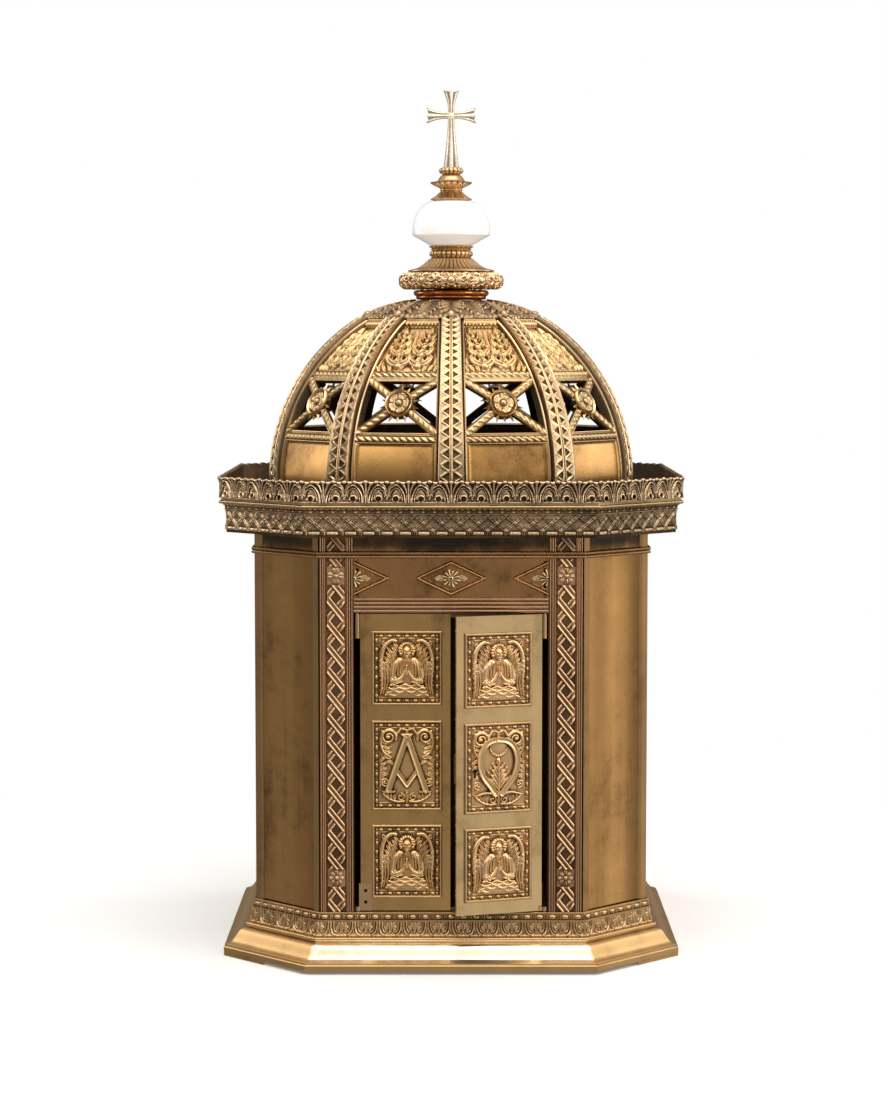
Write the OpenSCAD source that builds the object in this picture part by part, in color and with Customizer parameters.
// Domed brass tabernacle: an octagonal casket with two doors, a gallery cornice, and a ten-ribbed,
// pierced dome that carries a glass knop and a cross. Millimetres, +Z up. The origin is on the
// vertical axis, in the plane that the feet stand on. The doors face -Y.

/* [Body] */
// Width of the body across its flat faces
body_w = 430; // [424:1:440]
// Width of the front face, from corner to corner
front_w = 284; // [282:1:290]
// Height of the top edge of the base mouldings, where the body begins
body_z = 61.2; // [60:0.2:61.6]
// Height of the underside of the cornice
cornice_z = 467; // [466:0.5:468]
// Thickness of the sheet brass
sheet = 2; // [1.5:0.5:2.5]

/* [Plinth] */
// How far the plinth stands out from the body
plinth_out = 35; // [32:1:40]
// Height of the feet below the plinth
foot_h = 3.5; // [2:0.5:3.5]
// Radius of the four anchor holes in the bottom plate
anchor_hole_r = 4.5; // [3:0.25:6]
// Distance between the anchor holes along X and along Y
anchor_pitch = 240; // [180:10:260]

/* [Doors] */
// Width of the door opening
opening_w = 208.6; // [206:0.2:209]
// Height of the underside of the lintel
lintel_z = 384.2; // [384.2:0.1:385]
// Height of the bottom edge of the doors
door_z = 62.4; // [62.2:0.1:62.6]
// Thickness of a door leaf
leaf_t = 4; // [3.5:0.25:4]
// Angle at which the right door stands ajar at rest
ajar_deg = 18; // [0:1:30]
// Radius of the hinge pins
pin_r = 1.5; // [1.25:0.05:1.55]
// Running clearance around the hinge pins and the bolts
running_gap = 0.06; // [0.03:0.01:0.09]

/* [Cornice] */
// How far the lattice frieze stands out from the body
frieze_out = 29.7; // [28:0.1:30]
// How far the top lip of the gallery stands out from the body
gallery_out = 39.3; // [39:0.1:41]
// Height of the top edge of the gallery
gallery_top_z = 528; // [526:0.5:532]

/* [Dome] */
// Number of ribs, and of bays between them
rib_count = 10; // [10:1:10]
// Radius of the dome over its ribs
dome_r = 210; // [208:1:212]
// Height of the centre of the dome's sphere
dome_z = 520; // [518:1:522]
// Radius of the curved panels, measured at the middle of a bay
panel_r = 198; // [196:0.5:198]
// Width of a rib at its foot
rib_foot_w = 34; // [30:1:36]
// Width of a rib at its top
rib_top_w = 25; // [22:1:26]
// Radius of the rosette boss at the middle of each window
boss_r = 15.7; // [14:0.1:17]

/* [Finial] */
// Radius of the glass knop
knop_r = 44; // [42:1:46]
// Radius of the tie rod that holds the finial together
rod_r = 3; // [2.5:0.25:3]
// Height of the top of the cross
cross_top_z = 957; // [950:1:960]

/* [Hidden] */
$fn = 64;
mitre_gap = 0.1;
mitre_tan = tan(22.5);
half_w = body_w / 2;
half_front = front_w / 2;
chamfer_dist = (half_w + half_front) / sqrt(2);
chamfer_half = (half_w - half_front) / sqrt(2);
opening_half = opening_w / 2;
deck_z = 495;
case_floor_z = 48;
leaf_front = -1.5;
hinge_x = 100.2;
hinge_n = -1.7;
hinge_y = -(half_w + hinge_n);
hinge_bore_r = pin_r + running_gap;
leaf_edge_x = 97.2;
meeting_gap = 0.7;
leaf_top_z = lintel_z - 0.9;
leaf_back = leaf_front - leaf_t;
back_y = -(half_w + leaf_back);
plaque_w = 75.6;
plaque_x = 47.3;
plaque_h = 3;
plaque_bottoms = [76.2, 171.5, 285.1];
plaque_heights = [79.8, 97.4, 80.2];
keyhole_x = 20.5;
keyhole_z = 217.5;
bolt_travel = 9;
flush_x = -22;
flush_y = back_y + 5.2;
flush_r = 2.5;
string_z = 443;
string_h = 7.5;
dome_cut_z = 698.8;
cap_r = 105;
inner_half = 107;
inner_back_y = 120;
inner_floor_z = 57;
inner_ceiling_z = 386.5;

// ---- Octagonal building blocks -----------------------------------------------------------------

function side_dist(k) = k % 2 == 0 ? half_w : chamfer_dist;
function side_half(k) = k % 2 == 0 ? half_front : chamfer_half;

// Corners of the octagon that lies a distance out from the body's faces.
function octagon(out) = let (w = half_w + out, f = half_front + out * mitre_tan)
    [[f, -w], [w, -f], [w, f], [f, w], [-f, w], [-w, f], [-w, -f], [-f, -w]];

module octagon_plate(out, z, h) {
    translate([0, 0, z]) linear_extrude(height = h) polygon(octagon(out));
}

// Moves a shape made for the front face (outward is -Y, the face plane at y = 0) to side k.
module on_side(k) {
    rotate([0, 0, 45 * k]) translate([0, -side_dist(k), 0]) children();
}

// One mitred length of moulding on side k. Its 2D section has x outward from the body and y up.
module mitred_length(k) {
    reach = 60;
    half = side_half(k) - mitre_gap / 2;
    wide = half + reach * mitre_tan;
    narrow = half - reach * mitre_tan;
    on_side(k) intersection() {
        rotate([90, 0, -90]) linear_extrude(height = 2 * wide, center = true) children();
        linear_extrude(height = 1000) polygon([[-narrow, reach], [-wide, -reach], [wide, -reach], [narrow, reach]]);
    }
}

// Eight mitred lengths, which frame the whole octagon.
module moulding_ring() {
    for (k = [0:7]) mitred_length(k) children();
}

// A flat box on side k: across the face from x0 to x1, outward from n0 to n1, up from z0 to z1.
module face_box(k, x0, x1, n0, n1, z0, z1) {
    on_side(k) translate([x0, -n1, z0]) cube([x1 - x0, n1 - n0, z1 - z0]);
}

// ---- Base ---------------------------------------------------------------------------------------

// Pads under the four outer corners, each from the middle of a side to the middle of a chamfer.
module feet() {
    chamfer_share = 0.5;
    pad_w = 16;
    color("darkgoldenrod") for (flip_y = [0, 1], flip_x = [0, 1])
        mirror([0, flip_y, 0]) mirror([flip_x, 0, 0]) intersection() {
            difference() {
                linear_extrude(height = foot_h) polygon(octagon(plinth_out - 0.2));
                translate([0, 0, -1]) linear_extrude(height = foot_h + 2) polygon(octagon(plinth_out - pad_w));
            }
            translate([half_w - chamfer_share * (half_w - half_front) + plinth_out * 0.7, 60, -1]) cube([200, 200, 20]);
        }
}

module bottom_plate() {
    color("darkgoldenrod") difference() {
        octagon_plate(plinth_out - 7, foot_h, 4);
        for (x = [-1, 1], y = [-1, 1])
            translate([x * anchor_pitch / 2, y * anchor_pitch / 2, foot_h - 1]) cylinder(r = anchor_hole_r, h = 6);
    }
}

// Height of the plinth's cyma at a share t of the way in from its foot.
function cyma(t) = [31.5 - 20 * t, 13.2 + 16.3 * (t + 0.13 * sin(360 * t + 180))];

module plinth() {
    steps = 12;
    color("goldenrod") moulding_ring() polygon(concat(
        [[28.5, foot_h], [plinth_out, foot_h], [plinth_out, 10], [33.6, 10.6], [33.6, 12.2]],
        [for (i = [0:steps]) cyma(i / steps)],
        [[9.5, 29.5], [9.5, 31], [4, 31], [4, 26], [10, 23], [28.5, foot_h + 5]]));
}

module base_torus() {
    torus_r = 2;
    color("gold") moulding_ring() union() {
        translate([9.4, 33.1]) circle(r = torus_r);
        translate([4, 31.1]) square([5.4, 2 * torus_r]);
    }
}

module leaf_frieze() {
    color("goldenrod") moulding_ring()
        polygon([[1, 35.3], [7.3, 35.3], [6.9, 37], [5.2, 42], [4.4, 51.3], [1, 51.3]]);
}

module base_bead_band() {
    color("goldenrod") moulding_ring() polygon([[0.2, 51.4], [4.8, 51.4], [4.8, 53], [2.2, 53.4],
        [2.2, 58.8], [3, 59.2], [3, body_z - 0.5], [2.5, body_z], [0.2, body_z]]);
}

module case_floor() {
    color("darkgoldenrod") octagon_plate(-0.2, case_floor_z - 4, 3.9);
}

// ---- Body ---------------------------------------------------------------------------------------

// One flat wall sheet on side k, sunk behind the face plane by its own thickness.
module wall_sheet(k) {
    edge = side_half(k) - 2 * sheet * mitre_tan - mitre_gap;
    face_box(k, -edge, edge, -2 * sheet, -sheet, case_floor_z, cornice_z - 0.1);
}

module left_side_panel() {
    color("peru") wall_sheet(6);
}

module right_side_panel() {
    color("peru") wall_sheet(2);
}

module back_panel() {
    color("peru") wall_sheet(4);
}

module corner_panels() {
    color("peru") for (k = [1:2:7]) wall_sheet(k);
}

// The raised strip along one upright edge of a face, bevelled towards the panel.
module stile(k, hand) {
    face_w = 8.5;
    bevel_w = 2.5;
    edge = side_half(k) - mitre_gap;
    on_side(k) mirror([hand < 0 ? 1 : 0, 0, 0]) translate([0, 0, body_z + 0.1])
        linear_extrude(height = cornice_z - body_z - 0.2) polygon([[edge, 0], [edge - face_w, 0],
            [edge - face_w - bevel_w, sheet - 0.05], [edge - sheet * mitre_tan, sheet - 0.05]]);
}

module corner_stiles() {
    color("sienna") for (k = [1:7], hand = [-1, 1]) stile(k, hand);
}

module door_jambs() {
    outer = half_front - 2 * sheet * mitre_tan - mitre_gap;
    color("peru") for (s = [0, 1]) mirror([s, 0, 0])
        face_box(0, opening_half, outer, -2 * sheet, -sheet, case_floor_z, cornice_z - 0.1);
}

module lintel_panel() {
    color("peru") difference() {
        face_box(0, -opening_half + 0.1, opening_half - 0.1, -2 * sheet, -sheet, lintel_z, cornice_z - 0.1);
        hinge_pin_holes();
    }
}

module door_sill() {
    color("peru") difference() {
        face_box(0, -opening_half + 0.1, opening_half - 0.1, -2 * sheet, 0, case_floor_z, body_z - 0.1);
        hinge_pin_holes();
    }
}

// Plan section of one pilaster: two pairs of reeds beside a sunk channel.
module pilaster_section() {
    width = half_front - opening_half - 0.4 - sheet * mitre_tan;
    reed_r = 1.05;
    translate([0, -1]) square([width, 1]);
    for (x = [1.6, 4.4, width - 4.4, width - 1.6]) translate([x, 0]) circle(r = reed_r);
}

module pilaster_run(z0, z1) {
    base_n = -sheet + 0.05;
    for (s = [0, 1]) mirror([s, 0, 0]) on_side(0) translate([opening_half + 0.2, -base_n, z0])
        mirror([0, 1, 0]) linear_extrude(height = z1 - z0) translate([0, 1]) pilaster_section();
}

module pilasters() {
    color("sienna") {
        pilaster_run(body_z + 0.1, string_z - 0.1);
        pilaster_run(string_z + string_h + 0.1, cornice_z - 0.1);
    }
}

module guilloche_strips() {
    margin = 8;
    n0 = -sheet + 1.1;
    color("gold") for (s = [0, 1], z = [[body_z + 0.5, string_z - 0.5], [string_z + string_h + 0.5, cornice_z - 0.5]])
        mirror([s, 0, 0]) face_box(0, opening_half + margin, half_front - margin, n0, n0 + 1.6, z[0], z[1]);
}

// Half a disc that bulges towards +x.
module half_round(r) {
    intersection() {
        circle(r = r);
        translate([0, -r]) square([r, 2 * r]);
    }
}

module architrave_reeds() {
    reeds = 4;
    pitch = 4.18;
    back_n = -sheet + 0.05;
    color("sienna") difference() {
        rotate([90, 0, -90]) translate([half_w, 0, 0])
            linear_extrude(height = opening_w - 0.6, center = true) {
                translate([back_n, lintel_z]) square([1, reeds * pitch]);
                for (i = [0:reeds - 1]) translate([back_n + 1, lintel_z + (i + 0.5) * pitch]) half_round(pitch / 2 - 0.15);
            }
        hinge_pin_holes();
    }
}

// An upright lozenge frame in the XZ plane.
module lozenge(w, h, bar) {
    difference() {
        polygon([[-w / 2, 0], [0, -h / 2], [w / 2, 0], [0, h / 2]]);
        polygon([[-w / 2 + bar * 2.3, 0], [0, -h / 2 + bar * 1.1], [w / 2 - bar * 2.3, 0], [0, h / 2 - bar * 1.1]]);
    }
}

lozenge_z = 421.5;
lozenge_pitch = 104;

module lozenge_frames() {
    color("sienna") intersection() {
        translate([0, -half_w + sheet - 0.05, lozenge_z]) rotate([90, 0, 0]) linear_extrude(height = 1.6)
            for (i = [-1:1]) translate([i * lozenge_pitch, 0]) lozenge(75, 35.8, 2.4);
        face_box(0, -opening_half + 0.3, opening_half - 0.3, -sheet, 3, lintel_z, string_z);
    }
}

module lozenge_rosettes() {
    color("gold") intersection() {
        for (i = [-1:1]) translate([i * lozenge_pitch, -half_w + sheet - 0.05, lozenge_z])
            rotate([90, 0, 0]) cylinder(r = 9, h = 2);
        face_box(0, -opening_half + 0.3, opening_half - 0.3, -sheet, 3, lintel_z, string_z);
    }
}

module string_course() {
    reed_r = string_h / 4;
    color("goldenrod") moulding_ring() union() {
        translate([0.1, string_z]) square([1.4, string_h]);
        for (i = [0, 1]) translate([1.5, string_z + (2 * i + 1) * reed_r]) half_round(reed_r);
    }
}

// ---- Compartment --------------------------------------------------------------------------------

module compartment_floor() {
    color("tan") difference() {
        translate([-inner_half, back_y - 0.8, inner_floor_z])
            cube([2 * inner_half, inner_back_y - back_y + 0.8, 3]);
        translate([flush_x, flush_y, inner_floor_z - 1]) cylinder(r = flush_r + 0.3, h = 6);
    }
}

module compartment_walls() {
    wall_y = back_y + 2;
    color("tan") {
        for (s = [0, 1]) mirror([s, 0, 0]) translate([inner_half + 0.1, wall_y, inner_floor_z])
            cube([sheet, inner_back_y - wall_y, inner_ceiling_z - inner_floor_z + 2.5]);
        translate([-inner_half, inner_back_y + 0.1, inner_floor_z])
            cube([2 * inner_half, sheet, inner_ceiling_z - inner_floor_z + 2.5]);
    }
}

module compartment_ceiling() {
    color("tan") difference() {
        translate([-inner_half, back_y - 0.8, inner_ceiling_z])
            cube([2 * inner_half, inner_back_y - back_y + 0.8, 2.5]);
        translate([flush_x, flush_y, inner_ceiling_z - 1]) cylinder(r = flush_r + 0.3, h = 6);
    }
}

// Rebate strips behind the top and bottom edges of the leaves.
module door_stops() {
    stop_y = back_y + 0.3;
    top_half = 74;
    bottom_half = 84;
    color("sienna") {
        translate([-bottom_half, stop_y, inner_floor_z + 3.1]) cube([2 * bottom_half, 2, 5]);
        translate([-top_half, stop_y, inner_ceiling_z - 7.1]) cube([2 * top_half, 2, 7]);
    }
}

// ---- Cornice ------------------------------------------------------------------------------------

module cornice_soffit() {
    color("sienna") difference() {
        octagon_plate(frieze_out - 0.2, cornice_z, 2.4);
        octagon_plate(-40, cornice_z - 1, 5);
    }
}

module cornice_frieze() {
    z0 = cornice_z + 2.5;
    color("goldenrod") moulding_ring() union() {
        polygon([[frieze_out - 4, z0], [frieze_out + 0.8, z0], [frieze_out + 0.8, z0 + 4.2], [frieze_out, z0 + 5],
            [frieze_out - 0.4, z0 + 14], [frieze_out, z0 + 22], [frieze_out + 3, z0 + 23.5], [frieze_out + 3, z0 + 28.4],
            [frieze_out - 4, z0 + 28.4]]);
        translate([frieze_out + 0.8, z0 + 2.1]) circle(r = 1.9);
    }
}

module cornice_fillet() {
    z0 = 498;
    color("gold") moulding_ring() polygon([[frieze_out - 4, z0], [frieze_out + 5.5, z0], [frieze_out + 8, z0 + 1],
        [frieze_out + 8, z0 + 3.4], [frieze_out + 5, z0 + 4], [frieze_out + 5, z0 + 6.1], [frieze_out - 4, z0 + 6.1]]);
}

module gallery() {
    z0 = 504.2;
    lip = gallery_out;
    color("goldenrod") moulding_ring() polygon([[lip - 6, z0], [lip - 1.6, z0], [lip - 1.6, z0 + 2], [lip - 2.6, z0 + 9],
        [lip - 2, z0 + 16], [lip, gallery_top_z - 2.6], [lip, gallery_top_z], [lip - 7, gallery_top_z],
        [lip - 7, gallery_top_z - 6], [lip - 6, gallery_top_z - 7]]);
}

module roof_deck() {
    color("sienna") difference() {
        octagon_plate(frieze_out - 4.3, deck_z, 3);
        translate([0, 0, deck_z - 1]) cylinder(r = 150, h = 5);
    }
}

// ---- Dome ---------------------------------------------------------------------------------------

dome_foot_z = deck_z + 3;
ring_h = 5;

module dome_base_ring() {
    color("goldenrod") translate([0, 0, dome_foot_z]) difference() {
        cylinder(r = dome_r - 1, h = ring_h - 0.1);
        translate([0, 0, -1]) cylinder(r = dome_r - 24, h = ring_h + 2);
    }
}

// A curved band of the dome between two radii, bent in the upright plane through X, from z0 to z1.
module dome_band(r_in, r_out, z0, z1, half) {
    intersection() {
        translate([0, 0, dome_z]) rotate([90, 0, 0]) difference() {
            cylinder(r = r_out, h = 2 * half, center = true);
            cylinder(r = r_in, h = 2 * half + 2, center = true);
        }
        translate([1, -half, z0]) cube([r_out, 2 * half, z1 - z0]);
    }
}

// An upright prism along the X axis with a rib's tapering outline, grown sideways by a margin.
module rib_outline(margin) {
    foot = rib_foot_w / 2 + margin;
    top = rib_top_w / 2 + margin;
    z0 = dome_foot_z + ring_h;
    rotate([90, 0, 90]) linear_extrude(height = dome_r + 20)
        polygon([[-foot, z0 - 1], [foot, z0 - 1], [top, dome_cut_z + 1], [-top, dome_cut_z + 1]]);
}

module dome_ribs() {
    color("goldenrod") for (i = [0:rib_count - 1]) rotate([0, 0, -90 + i * 360 / rib_count]) intersection() {
        dome_band(dome_r - 16, dome_r, dome_foot_z + ring_h, dome_cut_z, rib_foot_w);
        rib_outline(0);
    }
}

// Wedge that one bay of the dome fills, centred on the X axis.
module bay_wedge() {
    reach = dome_r + 20;
    half_angle = 180 / rib_count;
    linear_extrude(height = 1000) polygon([[0, 0], [reach, -reach * tan(half_angle)], [reach, reach * tan(half_angle)]]);
}

// Cuts a curved band to the bay between two ribs.
module bay_part(r_in, r_out, z0, z1) {
    difference() {
        intersection() {
            dome_band(r_in, r_out, z0, z1, 70);
            bay_wedge();
        }
        for (s = [-1, 1]) rotate([0, 0, s * 180 / rib_count]) rib_outline(0.15);
    }
}

module each_bay() {
    for (i = [0:rib_count - 1]) rotate([0, 0, -90 + (i + 0.5) * 360 / rib_count]) children();
}

window_z0 = 575;
window_z1 = 630;

module dome_lower_panels() {
    color("peru") each_bay() bay_part(panel_r - 3, panel_r, dome_foot_z + ring_h, window_z0 - 3.5);
}

module dome_upper_panels() {
    color("gold") each_bay() bay_part(panel_r - 3, panel_r, window_z1 + 4.5, dome_cut_z);
}

module rope_rails() {
    color("gold") each_bay() {
        bay_part(panel_r - 5, panel_r + 4, window_z0 - 3.4, window_z0 + 0.4);
        bay_part(panel_r - 5, panel_r + 4, window_z1, window_z1 + 4.4);
    }
}

// Two crossed bars with a round boss, bent to the dome.
module window_lattices() {
    bar_w = 8;
    span_z = window_z1 - window_z0 - 1;
    mid_z = (window_z0 + window_z1) / 2 + 0.3;
    lean = 58;
    color("gold") each_bay() intersection() {
        bay_part(panel_r - 2, panel_r + 3.5, window_z0 + 0.5, window_z1 - 0.1);
        translate([0, 0, mid_z]) rotate([90, 0, 90]) linear_extrude(height = dome_r + 20) {
            for (s = [-1, 1]) rotate([0, 0, s * lean]) square([bar_w, 4 * span_z], center = true);
            circle(r = boss_r);
        }
    }
}

// Height of the outer face of the crown cap at a radius.
function cap_z(r) = 721 - 21 * pow(r / cap_r, 3.2);

module crown_cap() {
    radii = [rod_r + 0.2, 20, 35, 48, 60, 70, 79, 87, 94, 100, cap_r];
    color("darkgoldenrod") rotate_extrude() polygon(concat(
        [for (r = radii) [r, cap_z(r)]],
        [for (i = [len(radii) - 1:-1:0]) [radii[i], cap_z(radii[i]) - (i == len(radii) - 1 ? 1 : 3)]]));
}

// ---- Finial -------------------------------------------------------------------------------------

// A turned piece with a bore for the tie rod. Its 2D section is drawn to the right of the axis.
module turned() {
    rotate_extrude() difference() {
        children();
        translate([-1, 0]) square([rod_r + 1.2, 2000]);
    }
}

module finial_collar() {
    color("chocolate") turned() union() {
        translate([0, 721.2]) square([38, 10.6]);
        translate([38, 723.6]) circle(r = 2.3);
        translate([39.5, 728.3]) circle(r = 3.4);
    }
}

module finial_torus() {
    color("gold") turned() union() {
        translate([0, 731.9]) square([50, 20.4]);
        translate([50, 742.3]) circle(r = 10);
    }
}

module finial_bell() {
    color("goldenrod") turned()
        polygon([[0, 752.4], [48.9, 752.4], [48.9, 754.2], [45, 755.2], [36, 758.5], [29, 762.5], [24.5, 767.4], [0, 767.4]]);
}

module finial_bead_ring() {
    color("gold") turned() union() {
        translate([0, 767.5]) square([21.5, 14]);
        translate([20.4, 772.6]) circle(r = 4.4);
        translate([21.5, 779.8]) square([4.2, 1.7]);
    }
}

// The hollow glass knop: an outer and an inner outline of the same shape.
module knop() {
    wall = 3;
    r = knop_r;
    color("white") turned() polygon([[21, 781.6], [23, 781.6], [31, 786], [r - 3, 792.6], [r, 795], [r, 803],
        [r - 1.5, 812], [r - 6, 821], [r - 13, 828], [r - 21.5, 832.4], [12, 833], [12, 833 - wall],
        [r - 22.5, 832.4 - wall], [r - 15, 828 - wall], [r - 8.6, 819], [r - 4.5, 811], [r - wall, 803],
        [r - wall, 796.5], [29, 788.8], [21, 785]]);
}

module finial_crown() {
    color("gold") turned() {
        polygon([[0, 833.1], [23, 833.1], [20.5, 835], [14.5, 841], [11.5, 844], [13, 846.5], [23.2, 853.4],
            [19.5, 855], [12, 858.2], [8, 862.4], [0, 862.4]]);
        translate([0, 862.3]) square([10.4, 8]);
        translate([10.4, 866.4]) circle(r = 3.9);
    }
}

// One arm of the cross: narrow at the crossing, flared and forked at its end.
module cross_arm(length, root, tip) {
    polygon([[-root, 0], [root, 0], [root * 1.25, length * 0.55], [tip, length], [tip * 0.45, length - 2],
        [0, length + 0.6], [-tip * 0.45, length - 2], [-tip, length], [-root * 1.25, length * 0.55]]);
}

module cross() {
    thick = 5;
    centre_z = 928.5;
    foot_z = 870.4;
    arm = 28.2;
    color("gold") translate([0, thick / 2, centre_z]) rotate([90, 0, 0]) linear_extrude(height = thick) {
        cross_arm(cross_top_z - centre_z - 0.6, 3.6, 8.7);
        for (s = [-1, 1]) rotate([0, 0, 90 * s]) cross_arm(arm - 0.6, 3.6, 8.5);
        polygon([[-3.6, 0], [-9, foot_z - centre_z], [9, foot_z - centre_z], [3.6, 0]]);
    }
}

// The rod, with a hexagonal nut and a washer below the crown cap.
module tie_rod() {
    color("gray") {
        translate([0, 0, 700]) cylinder(r = rod_r, h = 170);
        translate([0, 0, 710]) cylinder(r = 6, h = 5, $fn = 6);
        translate([0, 0, 715]) cylinder(r = 12, h = 2.6);
    }
}

// ---- Doors --------------------------------------------------------------------------------------

// Turns what is drawn for a closed right door about its hinge to where it stands ajar.
module right_ajar() {
    translate([hinge_x, hinge_y, 0]) rotate([0, 0, ajar_deg]) translate([-hinge_x, -hinge_y, 0]) children();
}

// Four fixed pins: one above and one below each door.
module hinge_pins() {
    color("silver") for (x = [-hinge_x, hinge_x]) {
        translate([x, hinge_y, leaf_top_z - 14]) cylinder(r = pin_r, h = 24);
        translate([x, hinge_y, case_floor_z + 4]) cylinder(r = pin_r, h = door_z + 3.4 - case_floor_z - 4);
    }
}

// Clearance for the pins in the fixed parts around them.
module hinge_pin_holes() {
    for (x = [-hinge_x, hinge_x]) translate([x, hinge_y, case_floor_z + 3]) cylinder(r = pin_r + 0.02, h = 400);
}

// A closed left leaf. The corners by the hinges are notched for the knuckles.
module leaf_plate() {
    width = leaf_edge_x - meeting_gap;
    notch_w = 3.2;
    difference() {
        face_box(0, -leaf_edge_x, -meeting_gap, leaf_back, leaf_front, door_z, leaf_top_z);
        face_box(0, -leaf_edge_x - 1, -leaf_edge_x + notch_w, leaf_back - 1, leaf_front + 1, door_z - 1, door_z + 5.5);
    }
}

module left_door_leaf() {
    color("peru") leaf_plate();
}

// The keyhole, as drawn on a closed right door.
module keyhole() {
    translate([keyhole_x, back_y + 6, keyhole_z]) rotate([90, 0, 0]) {
        translate([0, 1.2, 0]) cylinder(r = 2.2, h = 30);
        translate([-1, -6, 0]) cube([2, 7, 30]);
    }
}

module right_door_leaf() {
    color("peru") right_ajar() difference() {
        mirror([1, 0, 0]) leaf_plate();
        keyhole();
    }
}

// Three framed plaques, as drawn on a closed left door.
module plaques() {
    frame_w = 3;
    field_depth = 1.8;
    for (i = [0:2]) difference() {
        face_box(0, -plaque_x - plaque_w / 2, -plaque_x + plaque_w / 2, leaf_front + 0.02, leaf_front + plaque_h,
            plaque_bottoms[i], plaque_bottoms[i] + plaque_heights[i]);
        face_box(0, -plaque_x - plaque_w / 2 + frame_w, -plaque_x + plaque_w / 2 - frame_w,
            leaf_front + plaque_h - field_depth, leaf_front + plaque_h + 1,
            plaque_bottoms[i] + frame_w, plaque_bottoms[i] + plaque_heights[i] - frame_w);
    }
}

module left_plaques() {
    color("gold") plaques();
}

module right_plaques() {
    color("gold") right_ajar() difference() {
        mirror([1, 0, 0]) plaques();
        keyhole();
    }
}

// Upper knuckle with a strap that wraps round the leaf's edge to its back face.
module upper_hinge() {
    knuckle_r = 2.6;
    knuckle_h = 26;
    z0 = leaf_top_z - knuckle_h;
    difference() {
        union() {
            translate([-hinge_x, hinge_y, z0]) cylinder(r = knuckle_r, h = knuckle_h - 0.2);
            translate([-hinge_x + 0.4, hinge_y, z0]) cube([2, back_y + 2 - hinge_y, knuckle_h - 0.2]);
            translate([-hinge_x + 0.4, back_y + 0.05, z0]) cube([20, 1.6, knuckle_h - 0.2]);
        }
        translate([-hinge_x, hinge_y, z0 + 10]) cylinder(r = hinge_bore_r, h = knuckle_h);
    }
}

// Lower boss on a plate. The plate lies on the leaf's front (face 1) or on its back (face -1).
module lower_hinge(face) {
    boss_r = 3.2;
    boss_h = 4.2;
    plate_w = 13.5;
    plate_h = 29.6;
    plate_t = 1.5;
    plate_n = face > 0 ? leaf_front + 0.02 : leaf_back - plate_t - 0.02;
    difference() {
        union() {
            translate([-hinge_x, hinge_y, door_z]) cylinder(r = boss_r, h = boss_h);
            face_box(0, -hinge_x, -leaf_edge_x + 3, plate_n < leaf_back ? plate_n : leaf_front - 1, leaf_front + 1,
                door_z, door_z + boss_h);
            face_box(0, -99, -99 + plate_w, plate_n, plate_n + plate_t, door_z, door_z + plate_h);
        }
        translate([-hinge_x, hinge_y, door_z - 1]) cylinder(r = hinge_bore_r, h = boss_h + 2);
        for (z = screw_heights) translate([screw_x, -half_w, z]) rotate([90, 0, 0]) cylinder(r = 1.9, h = 40, center = true);
    }
}

screw_x = -91.9;
screw_heights = [door_z + 9.4, door_z + 21.9];

module left_hinges() {
    color("goldenrod") {
        upper_hinge();
        lower_hinge(1);
    }
}

module right_hinges() {
    color("goldenrod") right_ajar() mirror([1, 0, 0]) {
        upper_hinge();
        lower_hinge(-1);
    }
}

// Screws in the left door's pivot plate, with their heads sunk in its holes.
module hinge_screws() {
    color("dimgray") for (z = screw_heights) translate([screw_x, -half_w - leaf_front - 0.05, z])
        rotate([90, 0, 0]) cylinder(r = 1.8, h = 0.7);
}

// ---- Lock and bolts -----------------------------------------------------------------------------

case_x0 = meeting_gap + 2;
case_z0 = 203;
case_t = 10;
bolt_z0 = 222;
bolt_w = 8;
bolt_t = 4;
bolt_y = back_y + 3;

module lock_case() {
    case_w = 38;
    case_h = 32;
    wall = 1.5;
    color("darkgoldenrod") right_ajar() difference() {
        translate([case_x0, back_y + 0.05, case_z0]) cube([case_w, case_t, case_h]);
        translate([case_x0 + wall, back_y + wall, case_z0 + wall])
            cube([case_w - 2 * wall, case_t - 2 * wall, case_h - 2 * wall]);
        translate([case_x0 - 1, bolt_y - 0.3, bolt_z0 - 0.3]) cube([wall + 2, bolt_t + 0.6, bolt_w + 0.6]);
        keyhole();
    }
}

// The bolt at rest in the case, with a slot below for the cam's finger.
module lock_bolt() {
    finger_reach = 4.6;
    slot_w = 6.5;
    color("silver") right_ajar() difference() {
        translate([case_x0 + 0.3, bolt_y, bolt_z0]) cube([26, bolt_t, bolt_w]);
        translate([keyhole_x + finger_reach - slot_w / 2, bolt_y - 1, bolt_z0 - 1]) cube([slot_w, bolt_t + 2, 4]);
    }
}

// The cam that the key turns: a disc with one finger that drives the bolt.
module lock_cam() {
    disc_r = 4;
    finger_r = 6.6;
    start_deg = 45;
    color("silver") right_ajar() translate([keyhole_x, bolt_y + 3.2, keyhole_z]) rotate([90, 0, 0])
        rotate([0, 0, -start_deg]) {
            cylinder(r = disc_r, h = 2.4);
            translate([-0.9, 0, 0]) cube([1.8, finger_r, 2.4]);
        }
}

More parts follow.
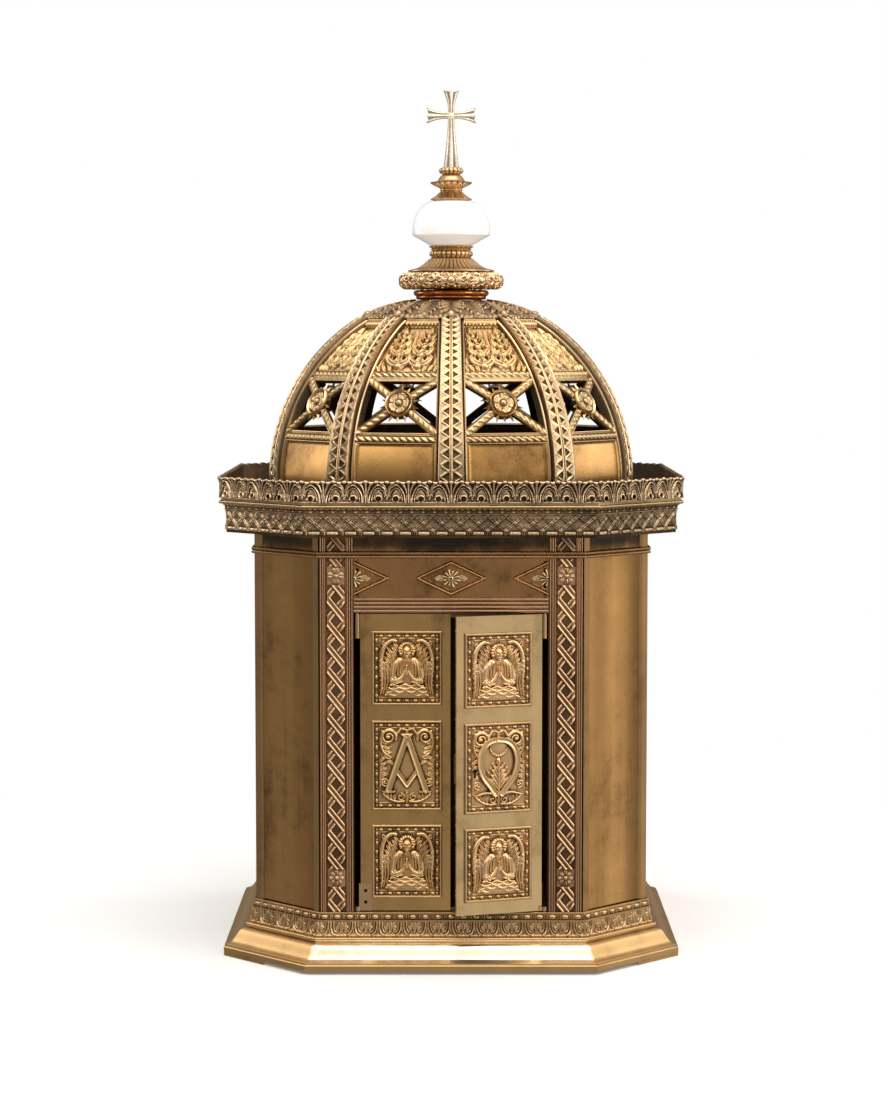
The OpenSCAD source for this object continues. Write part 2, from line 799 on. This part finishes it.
// Bracket on the left leaf's back that the lock bolt enters.
module bolt_keeper() {
    keeper_w = 11;
    wall = 2;
    room = 0.8;
    color("goldenrod") difference() {
        translate([-meeting_gap - 2 - keeper_w, back_y + 0.05, bolt_z0 - room - wall])
            cube([keeper_w, bolt_t + 5, bolt_w + 2 * (room + wall)]);
        translate([-meeting_gap - 3 - keeper_w, bolt_y - room, bolt_z0 - room])
            cube([keeper_w + 2, bolt_t + 2 * room, bolt_w + 2 * room]);
    }
}

flush_h = 52;
flush_top_z0 = 327;
flush_bottom_z0 = inner_floor_z + 9.5;

// One flush bolt: a round rod with a thumb stud.
module flush_bolt(z0, stud_z) {
    translate([flush_x, flush_y, z0]) cylinder(r = flush_r, h = flush_h);
    translate([flush_x, flush_y, stud_z]) rotate([-90, 0, 0]) cylinder(r = 2, h = 8);
}

module top_flush_bolt() {
    color("silver") flush_bolt(flush_top_z0, flush_top_z0 + 26);
}

module bottom_flush_bolt() {
    color("silver") flush_bolt(flush_bottom_z0, flush_bottom_z0 + 26);
}

// Four bored blocks on the left leaf's back that guide the flush bolts.
module flush_bolt_guides() {
    guide_h = 8;
    color("goldenrod") for (z = [flush_top_z0 + 4, flush_top_z0 + 39, flush_bottom_z0 + 4, flush_bottom_z0 + 39])
        difference() {
            translate([flush_x - 5, back_y + 0.05, z]) cube([10, 9, guide_h]);
            translate([flush_x, flush_y, z - 1]) cylinder(r = flush_r + running_gap, h = guide_h + 2);
        }
}

feet();
bottom_plate();
plinth();
base_torus();
leaf_frieze();
base_bead_band();
case_floor();
left_side_panel();
right_side_panel();
back_panel();
corner_panels();
corner_stiles();
door_jambs();
lintel_panel();
door_sill();
pilasters();
guilloche_strips();
architrave_reeds();
lozenge_frames();
lozenge_rosettes();
string_course();
compartment_floor();
compartment_walls();
compartment_ceiling();
door_stops();
cornice_soffit();
cornice_frieze();
cornice_fillet();
gallery();
roof_deck();
dome_base_ring();
dome_ribs();
dome_lower_panels();
dome_upper_panels();
window_lattices();
rope_rails();
crown_cap();
finial_collar();
finial_torus();
finial_bell();
finial_bead_ring();
knop();
finial_crown();
cross();
tie_rod();
hinge_pins();
left_door_leaf();
left_plaques();
left_hinges();
bolt_keeper();
right_door_leaf();
right_plaques();
right_hinges();
lock_case();
lock_bolt();
lock_cam();
top_flush_bolt();
bottom_flush_bolt();
flush_bolt_guides();
hinge_screws();
